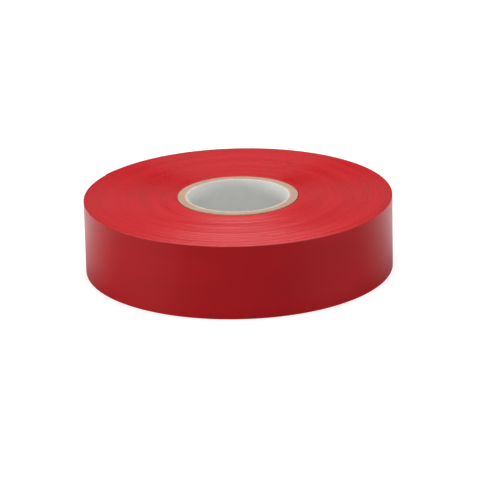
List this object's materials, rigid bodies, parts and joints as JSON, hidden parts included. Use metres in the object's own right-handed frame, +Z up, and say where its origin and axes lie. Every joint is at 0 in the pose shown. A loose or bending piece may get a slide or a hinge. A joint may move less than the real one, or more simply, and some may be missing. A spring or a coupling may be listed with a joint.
{
  "type": "electrical tape roll",
  "caption": "Roll of red PVC electrical insulation tape wound on a paperboard core, lying flat, with a free end that peels off the outer turn.",
  "frame": {"origin": "centre of the flat face the roll rests on, on the core's axis", "axes": "+Z up along the roll's axis, -Y towards the side seen in the main view; the tape winds outwards counter-clockwise seen from +Z, and its free end is on the far side, at -X"},
  "size_m": [0.079, 0.0791, 0.019],
  "materials": {
    "core_liner_ply": "matte grey-white paper",
    "core_body_ply_1": "matte chipboard",
    "core_body_ply_2": "matte chipboard",
    "core_body_ply_3": "matte chipboard",
    "core_outer_ply": "matte chipboard",
    "wound_tape": "satin slit edges of red PVC tape",
    "outer_turn": "glossy red PVC film",
    "tail_01": "glossy red PVC film",
    "tail_02": "glossy red PVC film",
    "tail_03": "glossy red PVC film",
    "tail_04": "glossy red PVC film",
    "tail_05": "glossy red PVC film",
    "tail_06": "glossy red PVC film",
    "tail_07": "glossy red PVC film",
    "tail_08": "glossy red PVC film",
    "tail_09": "glossy red PVC film",
    "tail_tab": "glossy red PVC film"
  },
  "bodies": {
    "roll": {"core_liner_ply": "core_liner_ply", "core_body_ply_1": "core_body_ply_1", "core_body_ply_2": "core_body_ply_2", "core_body_ply_3": "core_body_ply_3", "core_outer_ply": "core_outer_ply", "wound_tape": "wound_tape", "outer_turn": "outer_turn"},
    "tail_link_01": {"tail_01": "tail_01"},
    "tail_link_02": {"tail_02": "tail_02"},
    "tail_link_03": {"tail_03": "tail_03"},
    "tail_link_04": {"tail_04": "tail_04"},
    "tail_link_05": {"tail_05": "tail_05"},
    "tail_link_06": {"tail_06": "tail_06"},
    "tail_link_07": {"tail_07": "tail_07"},
    "tail_link_08": {"tail_08": "tail_08"},
    "tail_link_09": {"tail_09": "tail_09"},
    "free_end": {"tail_tab": "tail_tab"}
  },
  "joints": [
    {"name": "peel", "type": "hinge", "parent": "roll", "child": "tail_link_01", "pos_m": [0.01024, 0.03822, 0], "axis": [0, 0, -1], "range_deg": [0, 24]},
    {"name": "bend_02", "type": "hinge", "parent": "tail_link_01", "child": "tail_link_02", "pos_m": [0.00517, 0.03924, 0], "axis": [0, 0, -1], "range_deg": [0, 24]},
    {"name": "bend_03", "type": "hinge", "parent": "tail_link_02", "child": "tail_link_03", "pos_m": [0, 0.03958, 0], "axis": [0, 0, -1], "range_deg": [0, 20]},
    {"name": "bend_04", "type": "hinge", "parent": "tail_link_03", "child": "tail_link_04", "pos_m": [-0.00517, 0.03924, 0], "axis": [0, 0, -1], "range_deg": [0, 16]},
    {"name": "bend_05", "type": "hinge", "parent": "tail_link_04", "child": "tail_link_05", "pos_m": [-0.01025, 0.03823, 0], "axis": [0, 0, -1], "range_deg": [0, 12]},
    {"name": "bend_06", "type": "hinge", "parent": "tail_link_05", "child": "tail_link_06", "pos_m": [-0.01515, 0.03657, 0], "axis": [0, 0, -1], "range_deg": [0, 7.2]},
    {"name": "bend_07", "type": "hinge", "parent": "tail_link_06", "child": "tail_link_07", "pos_m": [-0.01979, 0.03429, 0], "axis": [0, 0, -1], "range_deg": [0, 7.2]},
    {"name": "bend_08", "type": "hinge", "parent": "tail_link_07", "child": "tail_link_08", "pos_m": [-0.0241, 0.03141, 0], "axis": [0, 0, -1], "range_deg": [0, 7.2]},
    {"name": "bend_09", "type": "hinge", "parent": "tail_link_08", "child": "tail_link_09", "pos_m": [-0.028, 0.028, 0], "axis": [0, 0, -1], "range_deg": [0, 7.2]},
    {"name": "tab_lift", "type": "hinge", "parent": "tail_link_09", "child": "free_end", "pos_m": [-0.03141, 0.02411, 0], "axis": [0, 0, -1], "range_deg": [0, 70]}
  ],
  "couplings": [
    {"joint": "bend_02", "follows": "peel", "ratio": 1},
    {"joint": "bend_03", "follows": "peel", "ratio": 0.83333},
    {"joint": "bend_04", "follows": "peel", "ratio": 0.66667},
    {"joint": "bend_05", "follows": "peel", "ratio": 0.5},
    {"joint": "bend_06", "follows": "peel", "ratio": 0.3},
    {"joint": "bend_07", "follows": "peel", "ratio": 0.3},
    {"joint": "bend_08", "follows": "peel", "ratio": 0.3},
    {"joint": "bend_09", "follows": "peel", "ratio": 0.3}
  ]
}
